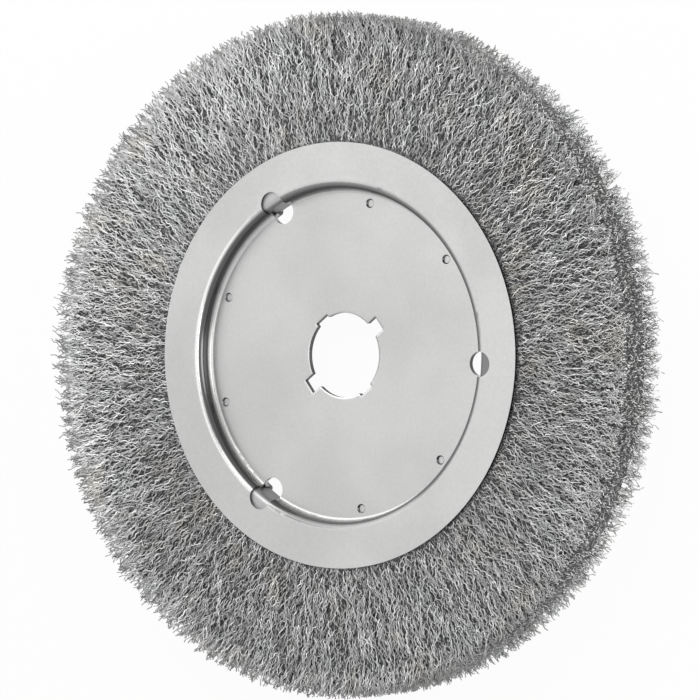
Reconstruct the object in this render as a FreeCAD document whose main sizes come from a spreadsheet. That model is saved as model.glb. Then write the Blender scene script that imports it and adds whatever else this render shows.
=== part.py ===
import FreeCAD, Part
import math
import os
import re
import Sketcher
from FreeCAD import Placement, Rotation, Vector

# Crimped wire wheel brush: two dished sheet plates clamp a channel ring, which grips hanks of
# crimped wire folded over an anchor ring. Millimetres, spin axis +Z, origin in the middle of
# the arbor hole on the plane where the two plates touch.
doc = FreeCAD.newDocument("WireWheelBrush")

# Driving dimensions: alias, value, meaning
dimensions = [
    ("brush_diameter", 254.0, "tip to tip of the wire"),
    ("face_width", 26.4, "width of the wire at the rim"),
    ("plate_diameter", 158.75, "both plates"),
    ("sheet", 1.0, "thickness of the plates' sheet"),
    ("dish_depth", 6.0, "how far the web lies below the outer ring"),
    ("ring_width", 17.5, "flat ring and step, from the plate's rim in to the web"),
    ("step_run", 0.1, "radial run of the sloped step"),
    ("foot_fillet", 1.4, "inside bend where web meets step"),
    ("shoulder_fillet", 3.4, "outside bend where step meets ring"),
    ("arbor_diameter", 31.75, "arbor hole"),
    ("keyway_width", 6.0, "all four keyways"),
    ("deep_keyway_reach", 19.9, "axis to the floor of the two deep keyways"),
    ("shallow_keyway_reach", 16.9, "axis to the floor of the two shallow keyways"),
    ("keyway_angle", 35.0, "first deep keyway from +X"),
    ("slot_width", 9.2, "three rounded slots that run out across the step"),
    ("slot_inset", 1.3, "from the foot of the step in to a slot's inner centre"),
    ("slot_outset", 1.9, "from the foot of the step out to a slot's outer centre"),
    ("slot_angle", -4.8, "first slot from +X"),
    ("stake_inset", 4.2, "from the foot of the step in to the stakes' centres"),
    ("stake_spacing", 40.5, "degrees from a slot to the stakes after it"),
    ("stake_cup", 2.7, "diameter of the cup pressed into the front plate"),
    ("stake_depth", 0.8, "how far each stake is pressed"),
    ("stake_wall", 0.6, "wall left round a pressed cup"),
    ("stake_lead", 0.4, "chamfer at the mouth of a cup"),
    ("fit_gap", 0.05, "clearance between pieces that seat on each other"),
    ("channel_sheet", 1.0, "thickness of the channel's strip"),
    ("flange_margin", 5.0, "from the channel's flanges out to the plates' rim"),
    ("anchor_wire", 4.0, "thickness of the anchor ring"),
    ("bundle_count", 30, "folded hanks round the wheel"),
    ("tufts_per_bundle", 3, "crimped tufts in which a hank ends"),
    ("crimp_pitch", 14.0, "radial length of one full crimp"),
    ("crimp_swing", 0.9, "sideways swing of a crimp from the tuft's middle line"),
    ("tuft_gap", 0.5, "gap between tufts and between hanks"),
    ("flare_end_radius", 116.0, "where the wire has reached its full width"),
    ("tip_step", 0.9, "how much a shorter tuft ends below the next"),
]
sheet = doc.addObject("Spreadsheet::Sheet", "Dimensions")
for row, (alias, value, meaning) in enumerate(dimensions, start=1):
    sheet.set(f"A{row}", meaning)
    sheet.set(f"B{row}", str(value))
    sheet.setAlias(f"B{row}", alias)
doc.recompute()
aliases = re.compile(r"\b(" + "|".join(alias for alias, value, meaning in dimensions) + r")\b")

# Reads the value of a formula of the sheet's aliases
probe = doc.addObject("App::FeaturePython", "Probe")
probe.addProperty("App::PropertyFloat", "Value")


def bind(target, path, formula):
    target.setExpression(path, aliases.sub(r"Dimensions.\1", formula))


def size(formula):
    bind(probe, "Value", formula)
    probe.recompute()
    return probe.Value


def newBody(name):
    body = doc.addObject("PartDesign::Body", name)
    body.Label = name
    return body


# A sketch on one of the body's own planes, raised along its normal and turned about it
def newSketch(body, name, role, height="0", angle="0"):
    sketch = body.newObject("Sketcher::SketchObject", name)
    plane = next(item for item in body.Origin.OriginFeatures if item.Role == role)
    sketch.AttachmentSupport = (plane, [""])
    sketch.MapMode = "FlatFace"
    # Any turn will do here: it gives the rotation its axis, and the formula then sets the angle
    sketch.AttachmentOffset = Placement(Vector(0, 0, 0), Rotation(Vector(0, 0, 1), 1))
    bind(sketch, "AttachmentOffset.Base.z", height)
    bind(sketch, "AttachmentOffset.Rotation.Angle", angle)
    return sketch


# Ties one point of a sketch to the sketch's origin, across and up
def placePoint(sketch, geometry, position, across, up):
    for kind, axis, formula in (("DistanceX", -2, across), ("DistanceY", -1, up)):
        amount = size(formula)
        if amount == 0:
            sketch.addConstraint(Sketcher.Constraint("PointOnObject", geometry, position, axis))
            continue
        places = (-1, 1, geometry, position) if amount > 0 else (geometry, position, -1, 1)
        index = sketch.addConstraint(Sketcher.Constraint(kind, *places, abs(amount)))
        bind(sketch, f"Constraints[{index}]", formula if amount > 0 else f"-({formula})")


# A closed outline of straight lines through corners given as formulas
def drawOutline(sketch, corners):
    points = [Vector(size(across), size(up), 0) for across, up in corners]
    for start, end in zip(points, points[1:] + points[:1]):
        sketch.addGeometry(Part.LineSegment(start, end), False)
    for line, (across, up) in enumerate(corners):
        following = (line + 1) % len(corners)
        sketch.addConstraint(Sketcher.Constraint("Coincident", line, 2, following, 1))
        placePoint(sketch, line, 1, across, up)


# A circle centred on the sketch's horizontal axis
def drawCircle(sketch, across, diameter):
    centre = Vector(size(across), 0, 0)
    sketch.addGeometry(Part.Circle(centre, Vector(0, 0, 1), size(diameter) / 2), False)
    placePoint(sketch, 0, 3, across, "0")
    index = sketch.addConstraint(Sketcher.Constraint("Diameter", 0, size(diameter)))
    bind(sketch, f"Constraints[{index}]", diameter)


# A slot along the sketch's horizontal axis, rounded at both ends
def drawSlot(sketch, near, far, width):
    radius = size(width) / 2
    ends = [(Vector(size(far), 0, 0), -math.pi / 2), (Vector(size(near), 0, 0), math.pi / 2)]
    for centre, start in ends:
        circle = Part.Circle(centre, Vector(0, 0, 1), radius)
        sketch.addGeometry(Part.ArcOfCircle(circle, start, start + math.pi), False)
    (right, turn), (left, turn) = ends
    up = Vector(0, radius, 0)
    sketch.addGeometry(Part.LineSegment(right + up, left + up), False)
    sketch.addGeometry(Part.LineSegment(left - up, right - up), False)
    for corner in ((0, 2, 2, 1), (2, 2, 1, 1), (1, 2, 3, 1), (3, 2, 0, 1)):
        sketch.addConstraint(Sketcher.Constraint("Tangent", *corner))
    sketch.addConstraint(Sketcher.Constraint("Equal", 0, 1))
    placePoint(sketch, 0, 3, far, "0")
    placePoint(sketch, 1, 3, near, "0")
    index = sketch.addConstraint(Sketcher.Constraint("Radius", 0, radius))
    bind(sketch, f"Constraints[{index}]", f"{width} / 2")


def revolve(body, name, corners):
    sketch = newSketch(body, f"{name}_profile", "XZ_Plane")
    drawOutline(sketch, corners)
    feature = body.newObject("PartDesign::Revolution", name)
    feature.Profile = sketch
    feature.ReferenceAxis = (sketch, ["V_Axis"])
    feature.Angle = 360
    doc.recompute()
    return feature


# A cut through everything, from a sketch on the plane where the plates touch
def cutThrough(body, name, sketch):
    feature = body.newObject("PartDesign::Pocket", name)
    feature.Profile = sketch
    feature.Type = "ThroughAll"
    feature.Midplane = True
    return feature


# How closely an edge's height and radius are told apart
edgeMatch = 0.01


# Names of the circular edges at a height, with radii from the smallest up to the largest
def circlesAt(feature, height, smallest, largest):
    names = []
    for number, edge in enumerate(feature.Shape.Edges, start=1):
        curve = edge.Curve
        if isinstance(curve, Part.Circle) and abs(curve.Center.z - height) < edgeMatch:
            if smallest - edgeMatch < curve.Radius < largest + edgeMatch:
                names.append(f"Edge{number}")
    return names


def dressEdges(body, kind, name, base, edges, amount):
    feature = body.newObject(f"PartDesign::{kind}", name)
    feature.Base = (base, edges)
    bind(feature, "Radius" if kind == "Fillet" else "Size", amount)
    doc.recompute()
    return feature


# Circles that follow the plate's rim inwards
footRadius = "(plate_diameter / 2 - ring_width)"
slotInner = f"({footRadius} - slot_inset)"
slotOuter = f"({footRadius} + slot_outset)"
stakeCircle = f"({footRadius} - stake_inset)"

# Dished plate as pressed, web on Z = 0 and ring above it. The step's wall keeps the sheet's
# thickness, so its outer corners stand further out by the sheet over the wall's slope.
wallRun = "sheet * sqrt(1 + (step_run / dish_depth)^2)"


def pressDish(body):
    arbor = "arbor_diameter / 2"
    rim = "plate_diameter / 2"
    ringTop = "dish_depth + sheet"
    dish = revolve(body, f"{body.Label}_dish", [
        (arbor, "0"),
        (f"{footRadius} + {wallRun} - sheet * step_run / dish_depth", "0"),
        (f"{footRadius} + {wallRun} + step_run - sheet * step_run / dish_depth", "dish_depth"),
        (rim, "dish_depth"),
        (rim, ringTop),
        (f"{footRadius} + step_run", ringTop),
        (footRadius, "sheet"),
        (arbor, "sheet"),
    ])
    bends = [
        ("foot_inside", "sheet", "foot_fillet"),
        ("foot_outside", "0", "foot_fillet + sheet"),
        ("shoulder_outside", ringTop, "shoulder_fillet"),
        ("shoulder_inside", "dish_depth", "shoulder_fillet - sheet"),
    ]
    wall = size("sheet")
    for name, height, radius in bends:
        edges = circlesAt(dish, size(height), size(arbor) + wall, size(rim) - wall)
        dish = dressEdges(body, "Fillet", f"{body.Label}_{name}", dish, edges, radius)
    return dish


# Arbor keyways: one slot across the hole for each pair that faces each other
def cutKeyways(body, turn):
    pairs = [("deep", "deep_keyway_reach", "keyway_angle"),
             ("shallow", "shallow_keyway_reach", "keyway_angle + 90")]
    for name, reach, angle in pairs:
        sketch = newSketch(body, f"{body.Label}_{name}_keyways", "XY_Plane", "0", f"{turn} * ({angle})")
        across = [f"-{reach}", reach, reach, f"-{reach}"]
        up = ["-keyway_width / 2", "-keyway_width / 2", "keyway_width / 2", "keyway_width / 2"]
        drawOutline(sketch, list(zip(across, up)))
        cutThrough(body, f"{body.Label}_{name}_slot", sketch)


# One pressed stake: a cup sunk from one face of the web and the boss it raises on the other
def pressStake(body, name, angle, mouthHeight, cup, bossHeight, boss, upwards):
    bossSketch = newSketch(body, f"{name}_boss_circle", "XY_Plane", bossHeight, angle)
    drawCircle(bossSketch, stakeCircle, boss)
    raised = body.newObject("PartDesign::Pad", f"{name}_boss")
    raised.Profile = bossSketch
    raised.Reversed = not upwards
    bind(raised, "Length", "stake_depth")
    cupSketch = newSketch(body, f"{name}_cup_circle", "XY_Plane", mouthHeight, angle)
    drawCircle(cupSketch, stakeCircle, cup)
    sunk = body.newObject("PartDesign::Pocket", f"{name}_cup")
    sunk.Profile = cupSketch
    sunk.Reversed = upwards
    bind(sunk, "Length", "stake_depth")
    return [raised, sunk]


# A whole plate. Turn is 1 for the front plate and -1 for the back one, which is flipped over.
def makePlate(name, turn, stake):
    body = newBody(name)
    pressDish(body)
    cutKeyways(body, turn)
    slotSketch = newSketch(body, f"{name}_slot_outline", "XY_Plane", "0", f"{turn} * slot_angle")
    drawSlot(slotSketch, slotInner, slotOuter, "slot_width")
    repeated = [cutThrough(body, f"{name}_slot", slotSketch)]
    for place in (1, 2):
        angle = f"{turn} * (slot_angle + {place} * stake_spacing)"
        repeated += pressStake(body, f"{name}_stake{place}", angle, **stake)
    doc.recompute()
    pattern = body.newObject("PartDesign::PolarPattern", f"{name}_thirds")
    pattern.Originals = repeated
    pattern.Axis = (slotSketch, ["N_Axis"])
    pattern.Angle = 360
    pattern.Occurrences = 3
    body.Tip = pattern
    doc.recompute()
    if turn < 0:
        body.Placement = Placement(Vector(0, 0, 0), Rotation(Vector(1, 0, 0), 180))
    return body, pattern


# The front plate's stakes are sunk from its face and nest in wider ones in the back plate
nest = "stake_cup + 2 * stake_wall + 2 * fit_gap"
frontStake = {"mouthHeight": "sheet", "cup": "stake_cup", "bossHeight": "0",
              "boss": "stake_cup + 2 * stake_wall", "upwards": False}
backStake = {"mouthHeight": "0", "cup": nest, "bossHeight": "sheet",
             "boss": f"{nest} + 2 * stake_wall", "upwards": True}
frontPlate, frontThirds = makePlate("front_plate", 1, frontStake)
backPlate, backThirds = makePlate("back_plate", -1, backStake)
mouths = circlesAt(frontThirds, size("sheet"), 0, size("stake_cup / 2"))
dressEdges(frontPlate, "Chamfer", "front_plate_stake_lead", frontThirds, mouths, "stake_lead")
ends = circlesAt(backThirds, size("sheet + stake_depth"), 0, size(stakeCircle))
dressEdges(backPlate, "Chamfer", "back_plate_stake_lead", backThirds, ends, "stake_lead")


# Channel ring: strip rolled to a U that opens outwards, lying round the steps of both plates
channelInside = f"({footRadius} + step_run + {wallRun} + fit_gap)"
channelHalf = "(dish_depth - fit_gap)"
flangeEnd = "(plate_diameter / 2 - flange_margin)"
channelBend = "(shoulder_fillet - sheet + fit_gap)"


def makeChannel():
    body = newBody("core_channel")
    baseOutside = f"{channelInside} + channel_sheet"
    cavityHalf = f"({channelHalf} - channel_sheet)"
    ring = revolve(body, "core_channel_ring", [
        (channelInside, f"-{channelHalf}"),
        (flangeEnd, f"-{channelHalf}"),
        (flangeEnd, f"-{cavityHalf}"),
        (baseOutside, f"-{cavityHalf}"),
        (baseOutside, cavityHalf),
        (flangeEnd, cavityHalf),
        (flangeEnd, channelHalf),
        (channelInside, channelHalf),
    ])
    bends = [("outer_bends", channelHalf, channelInside, channelBend),
             ("inner_bends", cavityHalf, baseOutside, f"{channelBend} - channel_sheet")]
    for name, half, largest, radius in bends:
        corners = [edge for height in (size(half), -size(half))
                   for edge in circlesAt(ring, height, 0, size(largest))]
        ring = dressEdges(body, "Fillet", f"core_channel_{name}", ring, corners, radius)
    return body


# Anchor ring: round wire in the middle of the channel's cavity
foldRadius = f"({channelHalf} - channel_sheet - fit_gap)"
anchorRadius = f"{channelInside} + channel_sheet + fit_gap + {foldRadius}"


def makeAnchor():
    ring = doc.addObject("Part::Torus", "anchor_ring")
    ring.Label = "anchor_ring"
    bind(ring, "Radius1", anchorRadius)
    bind(ring, "Radius2", "anchor_wire / 2")
    return ring


coreChannel = makeChannel()
anchorRing = makeAnchor()


# A closed polygon swept into a solid
def sweep(points, path):
    return Part.Face(Part.makePolygon(points + points[:1])).extrude(path)


# An outline in the XZ plane swept sideways across the middle of a hank
def sweepSideways(outline, width):
    return sweep([Vector(along, -width / 2, up) for along, up in outline], Vector(0, width, 0))


# An eight-sided outline in the XZ plane, its flats touching a circle of that radius
def octagon(centre, radius):
    reach = radius / math.cos(math.pi / 8)
    turns = [math.pi / 8 + side * math.pi / 4 for side in range(8)]
    return [(centre + reach * math.cos(turn), reach * math.sin(turn)) for turn in turns]


# The half width that a hank or tuft has at a radius, less half a gap to its neighbour
def halfWidth(radius, angle):
    return radius * math.tan(math.radians(angle / 2)) - size("tuft_gap") / 2


# The fold of a hank: an eight-sided loop round the anchor ring, then both legs pressed together
# as far as the plates' edge. The eye is widened by the ring's own bow across the hank.
def makeFold(angle):
    loop = size(foldRadius)
    centre = size(anchorRadius)
    neck = size(channelHalf)
    stemStart = size(f"{flangeEnd} + fit_gap")
    neckStart = stemStart + neck - loop
    end = size("plate_diameter / 2")
    start = centre - loop
    width = 2 * halfWidth(end, angle)
    legs = [(centre, loop), (stemStart, loop), (neckStart, neck), (end, neck)]
    stem = sweepSideways(legs + [(along, -up) for along, up in reversed(legs)], width)
    ends = [(start, -1), (end, -1), (end, 1), (start, 1)]
    corners = [Vector(along, side * halfWidth(along, angle), -neck) for along, side in ends]
    sector = sweep(corners, Vector(0, 0, 2 * neck))
    bow = centre * (1 - math.cos(math.radians(angle / 2))) / 2
    eye = sweepSideways(octagon(centre - bow, size("anchor_wire / 2 + fit_gap") + bow), 2 * width)
    return stem.fuse(sweepSideways(octagon(centre, loop), width)).common(sector).cut(eye)


# One crimped tuft along +X, as wide as the brush face at its tip. Its sides zigzag together, so
# that neighbours nest. It starts just inside the plates' edge, where it runs into the fold, and
# bends only beyond that edge.
def makeTuft(angle, tip):
    start = size("plate_diameter / 2 - sheet")
    edge = size("plate_diameter / 2")
    half = size("crimp_pitch / 2")
    crimps = [edge + half * (count + 0.5) for count in range(int((tip - edge) / half))]
    bends = [start, edge] + crimps + [tip]
    swing = size("crimp_swing")
    swings = [0, 0] + [swing * (-1) ** count for count in range(len(crimps))] + [0]
    left = [Vector(along, aside - halfWidth(along, angle), 0) for along, aside in zip(bends, swings)]
    right = [Vector(along, aside + halfWidth(along, angle), 0) for along, aside in zip(bends, swings)]
    face = size("face_width / 2")
    blank = sweep(left + right[::-1], Vector(0, 0, 2 * face))
    blank.translate(Vector(0, 0, -face))
    neck = size(channelHalf)
    flank = [(start, neck), (edge, neck), (size("flare_end_radius"), face), (tip, face)]
    return blank.common(sweepSideways(flank + [(along, -up) for along, up in reversed(flank)], 2 * face))


# A whole hank on +X: the fold and its tufts, which end at three lengths in turn
def makeHank():
    angle = 360 / size("bundle_count")
    count = int(size("tufts_per_bundle"))
    tuftAngle = angle / count
    longest = size("brush_diameter / 2") * math.cos(math.radians(tuftAngle / 2))
    tufts = []
    for number in range(count):
        steps = 2 * number % 3
        tuft = makeTuft(tuftAngle, longest - steps * size("tip_step"))
        tuft.rotate(Vector(0, 0, 0), Vector(0, 0, 1), (number - (count - 1) / 2) * tuftAngle)
        tufts.append(tuft)
    return makeFold(angle).multiFuse(tufts).removeSplitter()


hank = makeHank()
hankCount = int(size("bundle_count"))
hanks = []
for number in range(hankCount):
    name = f"wire_bundle_{number + 1:02d}"
    bundle = doc.addObject("Part::Feature", name)
    bundle.Label = name
    bundle.Shape = hank
    bundle.Placement = Placement(Vector(0, 0, 0), Rotation(Vector(0, 0, 1), number * 360 / hankCount))
    hanks.append(bundle)

doc.recompute()
nodes = [frontPlate, backPlate, coreChannel, anchorRing] + hanks
for item in doc.Objects:
    if "Invalid" in item.State or "Error" in item.State:
        raise RuntimeError(f"{item.Name} did not build: {item.State}")
for node in nodes:
    if node.Shape.isNull() or not node.Shape.isValid() or len(node.Shape.Solids) != 1:
        raise RuntimeError(f"{node.Label} is not one valid solid")

os.makedirs("parts", exist_ok=True)
for node in nodes:
    node.Shape.exportStep(f"parts/{node.Label}.step")
    print(node.Label, round(node.Shape.Volume, 1))
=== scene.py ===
import math
import bpy
import numpy as np
from mathutils import Matrix, Vector


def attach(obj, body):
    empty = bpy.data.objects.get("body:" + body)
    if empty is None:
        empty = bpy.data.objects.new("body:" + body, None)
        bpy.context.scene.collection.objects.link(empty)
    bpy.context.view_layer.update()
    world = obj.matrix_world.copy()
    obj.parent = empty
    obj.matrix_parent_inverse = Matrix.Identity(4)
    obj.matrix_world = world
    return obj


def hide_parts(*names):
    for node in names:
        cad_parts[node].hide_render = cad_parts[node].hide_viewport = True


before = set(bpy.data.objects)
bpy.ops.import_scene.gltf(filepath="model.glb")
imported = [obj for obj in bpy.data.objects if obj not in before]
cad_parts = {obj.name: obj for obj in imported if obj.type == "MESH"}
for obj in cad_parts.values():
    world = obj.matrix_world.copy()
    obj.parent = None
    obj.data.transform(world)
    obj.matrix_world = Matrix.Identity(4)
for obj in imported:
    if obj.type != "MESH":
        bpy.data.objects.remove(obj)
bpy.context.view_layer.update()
print("frame loaded")

# Places are in metres. The wheel lies on its side: Z is its spin axis, and the two plates meet at
# Z = 0.
mm = 0.001


# A shader socket that takes part in sums
class Wire:
    def __init__(self, shader, socket):
        self.shader = shader
        self.socket = socket

    def sum(self, operation, first, second):
        return self.shader.node("ShaderNodeMath", {"operation": operation}, {0: first, 1: second})

    def __add__(self, other):
        return self.sum("ADD", self, other)

    def __radd__(self, other):
        return self.sum("ADD", other, self)

    def __sub__(self, other):
        return self.sum("SUBTRACT", self, other)

    def __rsub__(self, other):
        return self.sum("SUBTRACT", other, self)

    def __mul__(self, other):
        return self.sum("MULTIPLY", self, other)

    def __rmul__(self, other):
        return self.sum("MULTIPLY", other, self)

    def __truediv__(self, other):
        return self.sum("DIVIDE", self, other)


# The node tree of a material or of the world, with one method for every node
class Shader:
    def __init__(self, owner):
        self.owner = owner
        owner.use_nodes = True
        self.tree = owner.node_tree
        self.tree.nodes.clear()

    def node(self, kind, settings=None, inputs=None, output=0):
        made = self.tree.nodes.new(kind)
        for key, value in (settings or {}).items():
            if key == "stops":
                self.setStops(made.color_ramp, value)
            else:
                setattr(made, key, value)
        for key, value in (inputs or {}).items():
            if isinstance(value, Wire):
                self.tree.links.new(value.socket, made.inputs[key])
            else:
                made.inputs[key].default_value = value
        return Wire(self, made.outputs[output]) if made.outputs else None

    # A stop is a place and a colour, or a place and one number for a grey
    def setStops(self, ramp, stops):
        while len(ramp.elements) < len(stops):
            ramp.elements.new(0.5)
        for element, (place, colour) in zip(ramp.elements, stops):
            element.position = place
            element.color = (*colour, 1) if isinstance(colour, tuple) else grey(colour)

    def part(self, vector, axis):
        return self.node("ShaderNodeSeparateXYZ", None, {0: vector}, output="xyz".index(axis))

    # Distance from the spin axis
    def radius(self, place):
        flat = self.node("ShaderNodeVectorMath", {"operation": "MULTIPLY"}, {0: place, 1: (1, 1, 0)})
        return self.node("ShaderNodeVectorMath", {"operation": "LENGTH"}, {0: flat}, output=1)

    def noise(self, vector, scale, detail=2.0, roughness=0.5):
        inputs = {"Vector": vector, "Scale": scale, "Detail": detail, "Roughness": roughness}
        return self.node("ShaderNodeTexNoise", None, inputs)

    def ramp(self, value, stops):
        return self.node("ShaderNodeValToRGB", {"stops": stops}, {0: value})

    # Colours a and b mixed or multiplied by a factor
    def mix(self, factor, a, b, blend="MIX"):
        settings = {"data_type": "RGBA", "blend_type": blend}
        return self.node("ShaderNodeMix", settings, {0: factor, 6: a, 7: b}, output=2)

    # 0 below the low value, 1 above the high one
    def step(self, value, low, high):
        inputs = {0: value, 1: low, 2: high}
        return self.node("ShaderNodeMapRange", {"interpolation_type": "SMOOTHSTEP"}, inputs)

    def bump(self, height, distance, normal=None):
        inputs = {"Height": height, "Distance": distance}
        if normal:
            inputs["Normal"] = normal
        return self.node("ShaderNodeBump", None, inputs)

    # Whether a ray comes from the camera, a glossy surface or a clear one
    def rays(self):
        names = ("Is Camera Ray", "Is Glossy Ray", "Is Transmission Ray")
        return [self.node("ShaderNodeLightPath", output=name) for name in names]

    def finish(self, inputs):
        surface = self.node("ShaderNodeBsdfPrincipled", None, inputs)
        self.node("ShaderNodeOutputMaterial", None, {0: surface})
        return self.owner


def grey(level):
    return (level, level, level, 1)


# Satin sheet steel: soft mottling from the rolling mill, with painted shade where its surface stands
# steep, on the step and at cut edges, and a painted highlight on the step's shoulder at -X
satinSteel = {
    "bright": (0.59, 0.59, 0.586, 1),
    "dull": (0.54, 0.54, 0.536, 1),
    "mottleScale": 22,
    "grainScale": 900,
    "waveScale": 45,
    "waveHeight": 0.25 * mm,
    # Painted shade: how much of its colour the sheet keeps as it gets steeper: squared sine of the
    # slope, share
    "drawMarksAndShade": [(0.02, 1.0), (0.07, 0.55), (0.13, 0.43), (0.25, 0.30), (0.5, 0.19), (0.8, 0.15)],
    "streakScale": 2400,           # marks that the drawing left round the step
    "streaks": [(0.35, 0.62), (0.65, 1.5)],
    "burnish": 0.2,                # how much smoother the steep parts are
    # A painted highlight on the shoulder of the step at -X: squared sine of the slope, gain
    "paintedHighlight": [(0.0, 1.0), (0.01, 1.15), (0.03, 1.45), (0.07, 2.7), (0.17, 2.8), (0.25, 1.5),
               (0.32, 1.0)],
    "shoulderHeights": (4.5 * mm, 5.5 * mm),
    "paintedHighlightSide": (-50 * mm, -20 * mm),
    "footKeeps": 0.75,             # how far the foot of the step is left out of the painted shade
    "footHeights": (2.2 * mm, 3.4 * mm),
    "footRadii": (58.8 * mm, 59.8 * mm),
    "insideShadeKeeps": 0.4,            # painted shade: the colour kept by the faces between the two plates
    "insideDepths": (-1.0 * mm, -0.4 * mm),
    "rounding": 1.3 * mm,          # of the punched edge of the arbour hole
    "roundedRadii": (24 * mm, 25 * mm),
    "roughness": 0.34,
}


def plateSteel():
    shader = Shader(bpy.data.materials.new("satinPlateSteel"))
    place = shader.node("ShaderNodeTexCoord", output="Object")
    facing = shader.node("ShaderNodeTexCoord", output="Normal")
    upright = shader.part(facing, "z")
    steepness = 1 - upright * upright
    x = shader.part(place, "x")
    z = shader.part(place, "z")
    height = shader.node("ShaderNodeMath", {"operation": "ABSOLUTE"}, {0: z})
    radius = shader.radius(place)
    mottle = shader.noise(place, satinSteel["mottleScale"], 3.0)
    grain = shader.noise(place, satinSteel["grainScale"])
    colour = shader.mix(shader.step(mottle, 0.35, 0.65), satinSteel["dull"], satinSteel["bright"])
    colour = shader.mix(0.10, colour, shader.ramp(grain, [(0.35, 0.35), (0.65, 0.85)]), "MULTIPLY")
    # Painted shade where the sheet stands steep, with the foot of the step left partly out of it
    drawMarksAndShade = shader.ramp(steepness, satinSteel["drawMarksAndShade"])
    foot = 1 - shader.step(height, *satinSteel["footHeights"])
    foot = foot * shader.step(radius, *satinSteel["footRadii"])
    drawMarksAndShade = shader.mix(foot * satinSteel["footKeeps"], drawMarksAndShade, grey(1))
    colour = shader.mix(1.0, colour, drawMarksAndShade, "MULTIPLY")
    # A painted highlight on the step's shoulder at -X
    shoulder = shader.step(z, *satinSteel["shoulderHeights"])
    shoulder = shoulder * (1 - shader.step(x, *satinSteel["paintedHighlightSide"]))
    paintedHighlight = shader.mix(1.0, colour, shader.ramp(steepness, satinSteel["paintedHighlight"]), "MULTIPLY")
    colour = shader.mix(shoulder, colour, paintedHighlight)
    level = shader.node("ShaderNodeCombineXYZ", None, {2: height})
    streaks = shader.ramp(shader.noise(level, satinSteel["streakScale"]), satinSteel["streaks"])
    colour = shader.mix((1 - drawMarksAndShade) * 0.8, colour, streaks, "MULTIPLY")
    # Painted shade on the faces between the two plates
    inside = 1 - shader.step(z * upright, *satinSteel["insideDepths"])
    shadedInside = shader.mix(1.0, colour, grey(satinSteel["insideShadeKeeps"]), "MULTIPLY")
    colour = shader.mix(inside, colour, shadedInside)
    roughness = satinSteel["roughness"] + (grain - 0.5) * 0.12 + (mottle - 0.5) * 0.1
    roughness = roughness - (1 - drawMarksAndShade) * satinSteel["burnish"]
    rounded = shader.node("ShaderNodeBevel", {"samples": 8}, {"Radius": satinSteel["rounding"]})
    plain = shader.node("ShaderNodeNewGeometry", output="Normal")
    normal = {0: shader.step(radius, *satinSteel["roundedRadii"]), 4: rounded, 5: plain}
    normal = shader.node("ShaderNodeMix", {"data_type": "VECTOR"}, normal, output=1)
    waves = shader.noise(place, satinSteel["waveScale"]) * 0.6 + grain * 0.012
    return shader.finish({
        "Base Color": colour,
        "Metallic": 1.0,
        "Roughness": roughness,
        "Normal": shader.bump(waves, satinSteel["waveHeight"], normal),
    })


# Dull zinc-grey strip with marks of the rolls running round it. Painted shade darkens its walls, and
# its flanges, which show through the plates' round holes, at +X more than at -X.
stripSteel = {
    "wall": 0.31,
    "litFlange": 0.56,
    "shadedFlange": 0.27,
    "litSide": (-20 * mm, 20 * mm),
    "rollScale": 1500,
    "rollHeight": 0.04 * mm,
    "patchScale": 70,
    "roughness": 0.36,
}


def channelSteel():
    shader = Shader(bpy.data.materials.new("rolledChannelSteel"))
    place = shader.node("ShaderNodeTexCoord", output="Object")
    facing = shader.node("ShaderNodeTexCoord", output="Normal")
    section = {0: shader.radius(place), 2: shader.part(place, "z")}
    section = shader.node("ShaderNodeCombineXYZ", None, section)
    rolls = shader.noise(section, stripSteel["rollScale"])
    patches = shader.noise(place, stripSteel["patchScale"], 4.0)
    colour = shader.ramp(patches * 0.4 + rolls * 0.6, [(0.3, 0.66), (0.7, 0.88)])
    upright = shader.part(facing, "z")
    # Painted shade: dark walls, and flanges lighter at -X than at +X
    onFlange = shader.step(upright * upright, 0.3, 0.8)
    flangeShade = shader.step(shader.part(place, "x"), *stripSteel["litSide"])
    flangeShade = shader.ramp(flangeShade, [(0.0, stripSteel["litFlange"]), (1.0, stripSteel["shadedFlange"])])
    paintedShade = shader.mix(onFlange, grey(stripSteel["wall"]), flangeShade)
    return shader.finish({
        "Base Color": shader.mix(1.0, colour, paintedShade, "MULTIPLY"),
        "Metallic": 1.0,
        "Roughness": stripSteel["roughness"] + patches * 0.2,
        "Normal": shader.bump(rolls, stripSteel["rollHeight"]),
    })


# Drawn steel wire: each strand has its own grey, with faint straw and green tints in patches. It
# is darkened with painted shade beside the plates, towards the rim at -Y and at its cut ends, but
# for those at +X, and brightened with painted light at -X.
wireSteel = {
    "dark": 0.31,
    "bright": 0.85,
    "straw": (1.0, 0.98, 0.94),
    "green": (0.965, 1.0, 0.98),
    "patchScale": 60,
    "drawScale": 4000,
    "drawHeight": 0.01 * mm,
    "from": 78 * mm,               # radius where the shares below start
    "reach": 52 * mm,              # and how far they run outwards
    "atPlates": 0.84,
    "plateShare": 0.77,            # where that painted shade ends
    "atTips": 0.62,
    "atLitTips": 1.0,
    "tipShares": (0.86, 0.95),
    "litTipSide": (50 * mm, 110 * mm),
    "lowShade": 0.12,
    "lowShares": (0.5, 0.8),
    "lowSide": (-105 * mm, -45 * mm),
    "paintedLight": 1.26,
    "lightTowards": (-0.9, 0.45, 0),
    "lightReach": (35 * mm, 95 * mm),
    "roughness": 0.40,
}


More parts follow.
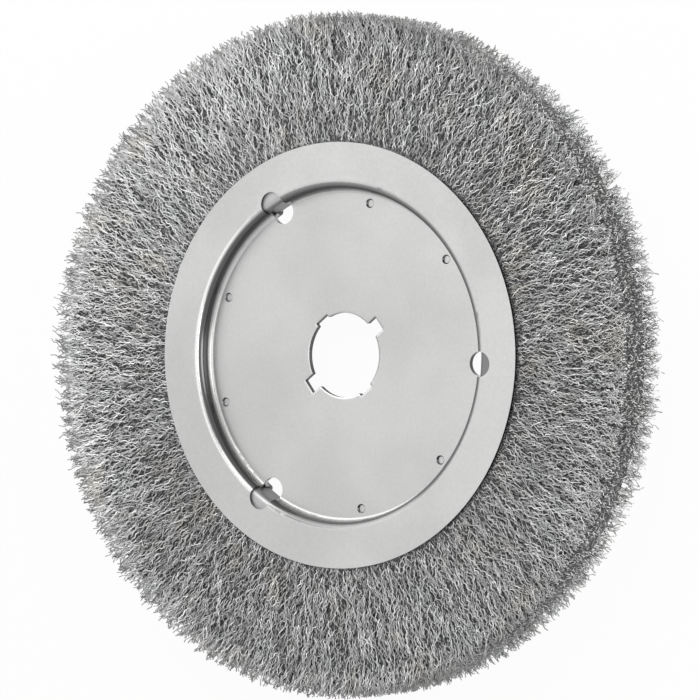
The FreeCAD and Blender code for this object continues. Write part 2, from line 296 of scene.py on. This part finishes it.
def crimpedWireSteel():
    shader = Shader(bpy.data.materials.new("crimpedWireSteel"))
    place = shader.node("ShaderNodeTexCoord", output="Object")
    tone = shader.node("ShaderNodeAttribute", {"attribute_name": "wireTone"}, None, output="Fac")
    colour = shader.ramp(tone, [(0.0, wireSteel["dark"]), (1.0, wireSteel["bright"])])
    patches = shader.noise(place, wireSteel["patchScale"])
    tint = [(0.30, wireSteel["straw"]), (0.45, 1), (0.58, 1), (0.72, wireSteel["green"])]
    colour = shader.mix(1.0, colour, shader.ramp(patches, tint), "MULTIPLY")
    # Painted shade beside the plates, at the cut ends but for those at +X, and towards the rim at -Y
    share = (shader.radius(place) - wireSteel["from"]) / wireSteel["reach"]
    paintedShade = shader.ramp(share, [(0.0, wireSteel["atPlates"]), (wireSteel["plateShare"], 1)])
    tips = shader.step(share, *wireSteel["tipShares"])
    ends = shader.step(shader.part(place, "x"), *wireSteel["litTipSide"])
    ends = shader.ramp(ends, [(0.0, wireSteel["atTips"]), (1.0, wireSteel["atLitTips"])])
    paintedShade = paintedShade * (1 - (1 - ends) * tips)
    low = 1 - shader.step(shader.part(place, "y"), *wireSteel["lowSide"])
    low = low * shader.step(share, *wireSteel["lowShares"])
    paintedShade = paintedShade * (1 - low * wireSteel["lowShade"])
    colour = shader.mix(1.0, colour, paintedShade, "MULTIPLY")
    # Painted light towards -X
    towards = {0: place, 1: wireSteel["lightTowards"]}
    towards = shader.node("ShaderNodeVectorMath", {"operation": "DOT_PRODUCT"}, towards, output=1)
    paintedLight = shader.step(towards, *wireSteel["lightReach"]) * (1 - tips)
    paintedLight = shader.ramp(paintedLight, [(0.0, 1), (1.0, wireSteel["paintedLight"])])
    drawMarksAndShade = shader.noise(place, wireSteel["drawScale"])
    return shader.finish({
        "Base Color": shader.mix(1.0, colour, paintedLight, "MULTIPLY"),
        "Metallic": 1.0,
        "Roughness": wireSteel["roughness"] + (drawMarksAndShade - 0.5) * 0.2,
        "Normal": shader.bump(drawMarksAndShade, wireSteel["drawHeight"]),
    })


# The wires deep in a hank: painted shade makes them dark, and the next layer of strands shows in
# painted light as grey streaks that follow the wheel's radius through the piece's own UV map, in
# metres
packedSteel = {
    "shadeGreys": [(0.0, 0.05), (0.5, 0.21), (1.0, 0.53)],
    "mapRadius": 100 * mm,         # of the circle along which the map is measured
    "rimFacing": 0.7,              # how far outwards a face looks that counts as the rim's
    "strandScale": 2400,
    "strandHeight": 0.25 * mm,
    "stretch": (1.0, 0.22, 1.0),
    "wanderScale": 320,
    "wander": 2.2 * mm,
    "clumpScale": 500,
    "roughness": 0.42,
}


def packedWireSteel():
    shader = Shader(bpy.data.materials.new("packedWireSteel"))
    across = shader.node("ShaderNodeUVMap", {"uv_map": "strandMap"})
    wander = (shader.noise(across, packedSteel["wanderScale"]) - 0.5) * packedSteel["wander"]
    wander = shader.node("ShaderNodeCombineXYZ", None, {0: wander})
    place = shader.node("ShaderNodeVectorMath", {"operation": "ADD"}, {0: across, 1: wander})
    place = {0: place, 1: packedSteel["stretch"]}
    place = shader.node("ShaderNodeVectorMath", {"operation": "MULTIPLY"}, place)
    strands = shader.noise(place, packedSteel["strandScale"], roughness=0.6)
    clumps = shader.noise(across, packedSteel["clumpScale"])
    # Painted light on the next layer's strands and painted shade in the gaps between them
    lit = shader.step(strands * 0.8 + clumps * 0.2, 0.46, 0.62)
    return shader.finish({
        "Base Color": shader.ramp(lit, packedSteel["shadeGreys"]),
        "Metallic": 0.9,
        "Roughness": packedSteel["roughness"],
        "Normal": shader.bump(lit, packedSteel["strandHeight"]),
    })


def clearSelection():
    if bpy.context.object and bpy.context.object.mode != "OBJECT":
        bpy.ops.object.mode_set(mode="OBJECT")
    bpy.ops.object.select_all(action="DESELECT")


def pick(piece):
    clearSelection()
    piece.select_set(True)
    bpy.context.view_layer.objects.active = piece


plateMaterial = plateSteel()
channelMaterial = channelSteel()
wireMaterial = crimpedWireSteel()
packedMaterial = packedWireSteel()
for nodeName, material in (("front_plate", plateMaterial), ("back_plate", plateMaterial),
                           ("core_channel", channelMaterial), ("anchor_ring", channelMaterial)):
    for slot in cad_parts[nodeName].material_slots:
        slot.material = material
print("plates and channel finished")

# The crimped wire. Strands lie on both flanks of a hank and stand up from its rim.
strand = {
    "radius": 0.225 * mm,
    "crimpHalf": 1.38 * mm,        # along the wire, from one bend to the next
    "crimpSwing": 0.34 * mm,       # half of the crimp's height
    "rollSpread": 0.9,             # in radians, about a crimp that lies on its side
    "tones": (1.6, 1.3),           # shape of the beta distribution of the strands' greys
    "flankBends": 7,
    "rimBends": 4,
    "strayBends": 5,
}


# One straight run of crimped wire along +X, three-sided because it is repeated thousands of times
def modelWire(name, bends):
    clearSelection()
    bpy.ops.mesh.primitive_circle_add(vertices=3, radius=strand["radius"], fill_type="NGON",
                                      rotation=(0, math.pi / 2, 0))
    wire = bpy.context.object
    wire.name = name
    bpy.ops.object.transform_apply(location=True, rotation=True, scale=True)
    bpy.ops.object.mode_set(mode="EDIT")
    bpy.ops.mesh.select_mode(type="FACE")
    bpy.ops.mesh.select_all(action="SELECT")
    height = 0
    for bend in range(bends):
        swing = strand["crimpSwing"] * (1 if bend % 2 == 0 else -1)
        step = (strand["crimpHalf"], 0, swing - height)
        bpy.ops.mesh.extrude_region_move(TRANSFORM_OT_translate={"value": step})
        height = swing
    bpy.ops.mesh.select_all(action="SELECT")
    bpy.ops.mesh.normals_make_consistent(inside=False)
    bpy.ops.mesh.quads_convert_to_tris()
    bpy.ops.object.mode_set(mode="OBJECT")
    return wire


# Corners and triangles of a modelled wire, ready to be copied
def readWire(wire):
    corners = np.zeros(len(wire.data.vertices) * 3)
    wire.data.vertices.foreach_get("co", corners)
    faces = np.array([list(face.vertices) for face in wire.data.polygons])
    bpy.data.objects.remove(wire)
    return corners.reshape(-1, 3), faces


flankWire = readWire(modelWire("flankWire", strand["flankBends"]))
rimWire = readWire(modelWire("rimWire", strand["rimBends"]))
strayWire = readWire(modelWire("strayWire", strand["strayBends"]))
print("wires modelled:", len(flankWire[1]), len(rimWire[1]), len(strayWire[1]), "triangles each")

# The form of the wire ring: packed as far as bodyHalf, with ends that splay out to faceHalf
ring = {
    "hanks": 30,
    "seed": 4100,
    "foldRadius": 78.9 * mm,       # as far as a hank's fold is kept
    "plateRadius": 79.375 * mm,
    "rimRadius": 127.5 * mm,
    "neckHalf": 5.95 * mm,
    "bodyHalf": 8.3 * mm,
    "flare": 1.7 * mm,             # added at the rim, where the wires spread
    "flareFrom": 0.65,             # share of the way to the rim
    "faceHalf": 13.2 * mm,
}

# Strands that lie on a flank. Ranges are given in mm where the code turns them into metres.
flank = {
    "front": 310,                  # for each hank
    "back": 170,
    "lengths": (0.65, 1.15),       # as shares of the modelled wire's
    "inner": 78.0 * mm,
    "shortOfRim": 5 * mm,
    "lean": 19,                    # degrees away from the wheel's radius
    "bow": 0.7,                    # mm, sideways
    "weave": 0.40 * mm,            # how far a strand dives below its neighbours and comes up again
    "weavePitch": 7.0 * mm,
    "depths": (-1.0, 0.15),        # mm, from the flank
    "dip": 1.1 * mm,               # of both ends
    "highest": 0.3 * mm,
    "plateGap": 0.4 * mm,          # beside the plate a strand stays below a slope
    "plateDepth": 0.7 * mm,
    "plateSlope": 0.9,
}

# Ends along each edge of the rim, in clumps, that splay away from the front and from the back
edge = {
    "ends": 60,
    "loose": 44,                   # more of them at the front's -X side and the back's +X side
    "splay": {1: 1.9 * mm, -1: 3.6 * mm},    # at the front and at the back
    "insideFace": 0.2 * mm,        # how far they stay inside the brush face
    "splayRange": (0.3, 1.7),
    "clumps": 5,
    "gathering": 0.7,              # how far the ends of a clump come together
    "shortest": -1.4,              # where the ends stand, in mm from the rim
    "longest": 0.4,
    "looseLonger": 1.2,
}

# Cut ends over the rim's width, and longer strays near its edges, of which there are more at -X
# and +X, where they also stand out further. Places and reaches are in mm, tilts in degrees.
rim = {"count": 155, "places": (-10.4, 9.8), "reach": (-1.7, 0.3), "tilt": 26}
stray = {"count": 16, "loose": 10, "places": (10, 13.2), "reach": (-1.2, 0.8), "looseLonger": 3.0,
         "tilt": 18}
# What both kinds of end share, with limits in degrees
standing = {
    "lengths": (0.8, 1.2),
    "mostLean": 40,
    "mostPitch": 30,
    "pitchShare": 0.6,             # of the tilt
    "curl": 0.5,                   # mm, for every curlLength
    "curlLength": 4 * mm,
    "fan": 24 * mm,                # place across the rim at which an end leans one radian outwards
}


# How loose the wires are at a place on the circle, from its cosine: trimmed clean along Y
def looseness(cosine):
    return max(0, cosine) ** 3


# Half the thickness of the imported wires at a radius
def flankHeight(radius):
    share = np.clip((radius - ring["plateRadius"]) / (ring["rimRadius"] - ring["plateRadius"]), 0, 1)
    spread = np.clip(share - ring["flareFrom"], 0, 1) / (1 - ring["flareFrom"])
    taper = ring["neckHalf"] + share * (ring["bodyHalf"] - ring["neckHalf"])
    return taper + spread ** 2 * ring["flare"]


# Copies of a wire, each rolled about itself: x, y, z and share of the length of every corner, with
# one row for each copy, and the copies' lengths
def spreadWire(wire, count, chance, lengthRange):
    x, y, z = wire[0].T
    stretch = chance.uniform(*lengthRange, (count, 1))
    length = x.max() * stretch
    roll = chance.choice((-0.5, 0.5), (count, 1)) * math.pi
    roll = roll + chance.normal(0, strand["rollSpread"], (count, 1))
    along = x * stretch
    aside = y * np.cos(roll) - z * np.sin(roll)
    up = y * np.sin(roll) + z * np.cos(roll)
    return along, aside, up, np.clip(along / length, 0, 1), length


# Turns copies that lie along +X to their own angle round the wheel
def turnCopies(forward, sideways, height, angle):
    x = forward * np.cos(angle) - sideways * np.sin(angle)
    y = forward * np.sin(angle) + sideways * np.cos(angle)
    return np.stack([x, y, height], axis=-1)


# Strands on one flank. Those that lie dip into the hank at both ends, and none reaches over the
# plate. Those of the edge end at the rim, and some splay outwards.
def flankStrands(chance, count, side, middle, halfAngle, splay):
    along, aside, up, share, length = spreadWire(flankWire, count, chance, flank["lengths"])
    angle = chance.uniform(-halfAngle, halfAngle, (count, 1))
    inner, outer = flank["inner"], ring["rimRadius"] - flank["shortOfRim"]
    start = np.sqrt(chance.uniform(inner ** 2, outer ** 2, (count, 1))) - length / 2
    fall = (2 * share - 1) ** 2
    rise, gather = 0, 0
    if splay:
        longest = edge["longest"] + edge["looseLonger"] * looseness(-side * math.cos(middle))
        start = ring["rimRadius"] + chance.uniform(edge["shortest"], longest, (count, 1)) * mm - length
        fall = np.where(share < 0.5, fall, 0)
        clumps = edge["clumps"]
        clump = np.minimum((angle / halfAngle + 1) * clumps / 2, clumps - 1).astype(int)
        clumpAngle = halfAngle * ((2 * clump + 1) / clumps - 1)
        gather = (angle - clumpAngle) * ring["rimRadius"] * edge["gathering"] * share ** 2
        reach = chance.uniform(*edge["splayRange"], clumps)[clump] * splay
        most = ring["faceHalf"] - ring["bodyHalf"] - ring["flare"] - edge["insideFace"]
        rise = np.minimum(chance.exponential(1, (count, 1)) * reach, most) * share ** 1.5
    lean = np.radians(chance.normal(0, flank["lean"], (count, 1)))
    bow = chance.normal(0, flank["bow"], (count, 1)) * mm * 4 * share * (1 - share)
    across = aside + bow
    local = along - length / 2
    forward = local * np.cos(lean) - across * np.sin(lean) + start + length / 2
    sideways = local * np.sin(lean) + across * np.cos(lean) - gather
    phase = chance.uniform(0, 2 * math.pi, (count, 1))
    weave = flank["weave"] * np.sin(2 * math.pi * along / flank["weavePitch"] + phase)
    lift = chance.uniform(*flank["depths"], (count, 1)) * mm - fall * flank["dip"] + weave
    clear = np.maximum(forward - ring["plateRadius"] - flank["plateGap"], 0)
    ceiling = clear * flank["plateSlope"] - flank["plateDepth"]
    lift = np.minimum(lift, np.minimum(ceiling, flank["highest"])) + rise
    height = side * (flankHeight(forward) + lift + up)
    return turnCopies(forward, sideways, height, middle + angle), flankWire[1]


# Cut ends that stand up from the rim at places across its width
def rimStrands(wire, count, chance, middle, halfAngle, reach, tilt, place):
    along, aside, up, share, length = spreadWire(wire, count, chance, standing["lengths"])
    tip = ring["rimRadius"] + chance.uniform(*reach, (count, 1)) * mm
    lean = np.clip(chance.normal(0, tilt, (count, 1)), -standing["mostLean"], standing["mostLean"])
    pitch = chance.normal(0, tilt * standing["pitchShare"], (count, 1))
    pitch = np.radians(np.clip(pitch, -standing["mostPitch"], standing["mostPitch"]))
    curl = chance.normal(0, standing["curl"], (count, 1)) * mm * share ** 2
    forward = along - length
    sideways = aside + forward * np.tan(np.radians(lean)) + curl * length / standing["curlLength"]
    forward = forward * np.cos(np.radians(lean)) + tip
    height = place + (forward - tip) * np.tan(pitch + place / standing["fan"])
    height = np.clip(height, -ring["faceHalf"], ring["faceHalf"]) + up
    angle = middle + chance.uniform(-halfAngle, halfAngle, (count, 1))
    return turnCopies(forward, sideways, height, angle), wire[1]


# Sections of a hank's packed middle: radius, and depth below the flanks, both in mm
packing = [(78.6, 0.3), (84.0, 0.9), (92.0, 1.2), (100.0, 1.2), (108.0, 1.2), (116.0, 1.2),
           (121.5, 1.3), (124.0, 1.9), (125.2, 3.6), (125.8, 6.6)]


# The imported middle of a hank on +X, drawn out from the plates' edge to the rim
def modelPackedHank():
    clearSelection()
    sections = [(radius * mm, 2 * (float(flankHeight(radius * mm)) - depth * mm))
                for radius, depth in packing]
    station, height = sections[0]
    bpy.ops.mesh.primitive_plane_add(size=1, rotation=(0, math.pi / 2, 0), location=(station, 0, 0))
    hank = bpy.context.object
    hank.name = "packedHank"
    hank.scale = (height, 2 * station * math.tan(math.pi / ring["hanks"]), 1)
    bpy.ops.object.transform_apply(location=True, rotation=True, scale=True)
    bpy.ops.object.mode_set(mode="EDIT")
    bpy.ops.mesh.select_mode(type="FACE")
    bpy.ops.mesh.select_all(action="SELECT")
    for onward, nextHeight in sections[1:]:
        grow = (1, onward / station, nextHeight / height)
        bpy.ops.mesh.extrude_region_move(TRANSFORM_OT_translate={"value": (onward - station, 0, 0)})
        bpy.ops.transform.resize(value=grow, center_override=(onward, 0, 0))
        station, height = onward, nextHeight
    bpy.ops.mesh.select_all(action="SELECT")
    bpy.ops.mesh.normals_make_consistent(inside=False)
    bpy.ops.mesh.subdivide(number_cuts=2)
    bpy.ops.object.mode_set(mode="OBJECT")
    return hank


# The fold of a hank round the anchor ring: the CAD node's own mesh as far as the plates' edge
def copyFold(nodeName, angle):
    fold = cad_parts[nodeName].copy()
    fold.data = fold.data.copy()
    bpy.context.collection.objects.link(fold)
    fold.parent = None
    pick(fold)
    bpy.ops.object.mode_set(mode="EDIT")
    bpy.ops.mesh.select_all(action="SELECT")
    bpy.ops.mesh.remove_doubles(threshold=0.001 * mm)
    outward = Vector((math.cos(angle), math.sin(angle), 0))
    bpy.ops.mesh.bisect(plane_co=outward * ring["foldRadius"], plane_no=outward, use_fill=True,
                        clear_outer=True)
    bpy.ops.object.mode_set(mode="OBJECT")
    return fold


# A mesh of many copied wires, with a grey of its own for each wire
def joinWires(name, bundles, chance):
    corners, triangles, tones, offset = [], [], [], 0
    for copies, faces in bundles:
        count, size = copies.shape[:2]
        corners.append(copies.reshape(-1, 3))
        shift = offset + np.arange(count)[:, None, None] * size
        triangles.append((faces[None] + shift).reshape(-1, 3))
        tones.append(np.repeat(chance.beta(*strand["tones"], count), size))
        offset += count * size
    corners = np.concatenate(corners)
    triangles = np.concatenate(triangles)
    mesh = bpy.data.meshes.new(name)
    mesh.vertices.add(len(corners))
    mesh.vertices.foreach_set("co", corners.ravel())
    mesh.loops.add(triangles.size)
    mesh.loops.foreach_set("vertex_index", triangles.ravel())
    mesh.polygons.add(len(triangles))
    mesh.polygons.foreach_set("loop_start", np.arange(0, triangles.size, 3))
    mesh.polygons.foreach_set("use_smooth", np.ones(len(triangles), dtype=bool))
    layer = mesh.attributes.new("wireTone", "FLOAT", "POINT")
    layer.data.foreach_set("value", np.concatenate(tones))
    mesh.update(calc_edges=True)
    wires = bpy.data.objects.new(name, mesh)
    bpy.context.collection.objects.link(wires)
    return wires


# UV map in metres: along a circle, and along the wheel's radius or the rim's width. Each hank has
# its own stretch of the pattern.
def mapStrands(piece, angle):
    layer = piece.data.uv_layers.new(name="strandMap")
    turn = Matrix.Rotation(-angle, 3, "Z")
    for face in piece.data.polygons:
        onRim = (turn @ face.normal).x > packedSteel["rimFacing"]
        for loop in face.loop_indices:
            place = turn @ piece.data.vertices[piece.data.loops[loop].vertex_index].co
            along = place.z if onRim else place.x
            around = math.atan2(place.y, place.x) * packedSteel["mapRadius"]
            layer.data[loop].uv = (around + angle, along)


# All strands of the hank whose middle is at an angle round the wheel
def hankStrands(chance, middle, halfAngle):
    bundles = []
    for side, lying in ((1, flank["front"]), (-1, flank["back"])):
        bundles.append(flankStrands(chance, lying, side, middle, halfAngle, 0))
        ends = edge["ends"] + round(edge["loose"] * looseness(-side * math.cos(middle)))
        bundles.append(flankStrands(chance, ends, side, middle, halfAngle, edge["splay"][side]))
    place = chance.uniform(*rim["places"], (rim["count"], 1)) * mm
    bundles.append(rimStrands(rimWire, rim["count"], chance, middle, halfAngle, rim["reach"],
                              rim["tilt"], place))
    loose = looseness(abs(math.cos(middle)))
    count = stray["count"] + round(stray["loose"] * loose)
    place = chance.choice((-1, 1), (count, 1)) * chance.uniform(*stray["places"], (count, 1)) * mm
    reach = (stray["reach"][0], stray["reach"][1] + stray["looseLonger"] * loose)
    bundles.append(rimStrands(strayWire, count, chance, middle, halfAngle, reach, stray["tilt"],
                              place))
    return bundles


packedHank = modelPackedHank()
triangles = 0
for number in range(ring["hanks"]):
    nodeName = f"wire_bundle_{number + 1:02d}"
    chance = np.random.default_rng(ring["seed"] + number)
    halfAngle = math.pi / ring["hanks"]
    middle = 2 * halfAngle * number
    packed = packedHank.copy()
    packed.data = packedHank.data.copy()
    packed.data.transform(Matrix.Rotation(middle, 4, "Z"))
    bpy.context.collection.objects.link(packed)
    fold = copyFold(nodeName, middle)
    for part in (packed, fold):
        part.data.materials.clear()
        part.data.materials.append(packedMaterial)
        mapStrands(part, middle)
    strands = hankStrands(chance, middle, halfAngle)
    wires = joinWires(f"crimpedHank{number + 1:02d}", strands, chance)
    wires.data.materials.append(wireMaterial)
    clearSelection()
    for part in (packed, fold, wires):
        part.select_set(True)
    bpy.context.view_layer.objects.active = wires
    bpy.ops.object.join()
    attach(wires, "root")
    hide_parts(nodeName)
    triangles += sum(len(face.vertices) - 2 for face in wires.data.polygons)
bpy.data.objects.remove(packedHank)
print("hanks made:", ring["hanks"], "triangles:", triangles)

# A pale floor: all but white to the camera and to reflections, with a share of matt paint that
# shows a soft shadow. From below it is clear.
paleFloor = {"colour": 0.95, "shadowShare": 0.05, "size": 6, "height": -13.8 * mm}


def floorPaint():
    shader = Shader(bpy.data.materials.new("paleFloor"))
    camera, glossy, clearRay = shader.rays()
    seen = camera + glossy + clearRay
    seen = shader.node("ShaderNodeMath", {"operation": "MINIMUM"}, {0: seen, 1: 1.0})
    white = seen * (1 - paleFloor["shadowShare"])
    matt = shader.node("ShaderNodeBsdfDiffuse", None, {"Color": grey(paleFloor["colour"])})
    glow = shader.node("ShaderNodeEmission", None, {"Color": grey(1), "Strength": 1.0})
    above = shader.node("ShaderNodeMixShader", None, {0: white, 1: matt, 2: glow})
    below = shader.node("ShaderNodeNewGeometry", output="Backfacing")
    clear = shader.node("ShaderNodeBsdfTransparent")
    surface = shader.node("ShaderNodeMixShader", None, {0: below, 1: above, 2: clear})
    shader.node("ShaderNodeOutputMaterial", None, {0: surface})
    return shader.owner


clearSelection()
bpy.ops.mesh.primitive_plane_add(size=paleFloor["size"], location=(0, 0, paleFloor["height"]))
floor = bpy.context.object
floor.name = "paleFloor"
floor.data.materials.append(floorPaint())

# An even sky, white wherever the camera or a reflection sees it
sky = {"strength": 0.38}


def softSky():
    shader = Shader(bpy.data.worlds.new("softSky"))
    camera, glossy, clearRay = shader.rays()
    seen = shader.node("ShaderNodeMath", {"operation": "MAXIMUM"}, {0: camera, 1: clearRay})
    seen = shader.node("ShaderNodeMath", {"operation": "MAXIMUM"}, {0: seen, 1: glossy})
    even = {"Color": grey(1), "Strength": sky["strength"]}
    even = shader.node("ShaderNodeBackground", None, even)
    white = shader.node("ShaderNodeBackground", None, {"Color": grey(1), "Strength": 1.0})
    mixed = shader.node("ShaderNodeMixShader", None, {0: seen, 1: even, 2: white})
    shader.node("ShaderNodeOutputWorld", None, {0: mixed})
    return shader.owner


bpy.context.scene.world = softSky()

# Soft boxes: name, place, length and width in metres, watts
softBoxes = [
    ("topBox", (0.31, -0.06, 1.26), 0.45, 0.20, 1.6),
    ("rightBox", (0.88, -0.03, 0.47), 0.40, 0.40, 0.85),
    ("sideBox", (-0.50, 0.60, 0.40), 0.80, 0.70, 3.0),
    ("cornerBox", (-0.02, 0.33, 0.43), 0.25, 0.25, 0.6),
    ("rimBox", (0.75, 0.05, 0.30), 0.40, 0.40, 1.3),
    ("glowBox", (-0.34, 0.0, 0.95), 0.3, 0.3, 0.09),
]
for name, place, length, width, watts in softBoxes:
    lamp = bpy.data.lights.new(name, "AREA")
    lamp.shape = "RECTANGLE"
    lamp.size = length
    lamp.size_y = width
    lamp.energy = watts
    holder = bpy.data.objects.new(name, lamp)
    holder.location = place
    holder.rotation_euler = (-Vector(place)).to_track_quat("-Z", "Y").to_euler()
    bpy.context.collection.objects.link(holder)
print("stage and lights set")

# The camera: turned from the front plate's axis towards +X, then tilted and rolled a little.
# Angles are in degrees, the lens and its sensor in mm.
view = {
    "turn": 34.8,
    "tilt": -0.8,
    "roll": 1.7,
    "distance": 1.5,
    "lens": 207.3,
    "sensor": 36,
    "farthest": 20,
    "frontPlane": 7.0 * mm,
    "aimRight": 5.69 * mm,
    "aimUp": 1.93 * mm,
}
turn = Matrix.Rotation(math.radians(-view["turn"]), 3, "Y")
tilt = Matrix.Rotation(math.radians(view["tilt"]), 3, "X")
roll = Matrix.Rotation(math.radians(view["roll"]), 3, "Z")
axes = roll @ tilt @ turn
right, upward, outward = Vector(axes[0]), Vector(axes[1]), Vector(axes[2])
centre = Vector((0, 0, view["frontPlane"]))
position = centre + outward * view["distance"]
aim = centre + right * view["aimRight"] + upward * view["aimUp"]
back = (position - aim).normalized()
side = upward.cross(back).normalized()
lens = bpy.data.cameras.new("studioCamera")
lens.lens = view["lens"]
lens.sensor_width = view["sensor"]
lens.clip_end = view["farthest"]
camera = bpy.data.objects.new("studioCamera", lens)
camera.location = position
camera.rotation_euler = Matrix((side, back.cross(side), back)).transposed().to_euler()
bpy.context.collection.objects.link(camera)
bpy.context.scene.camera = camera
bpy.context.scene.view_settings.view_transform = "Standard"
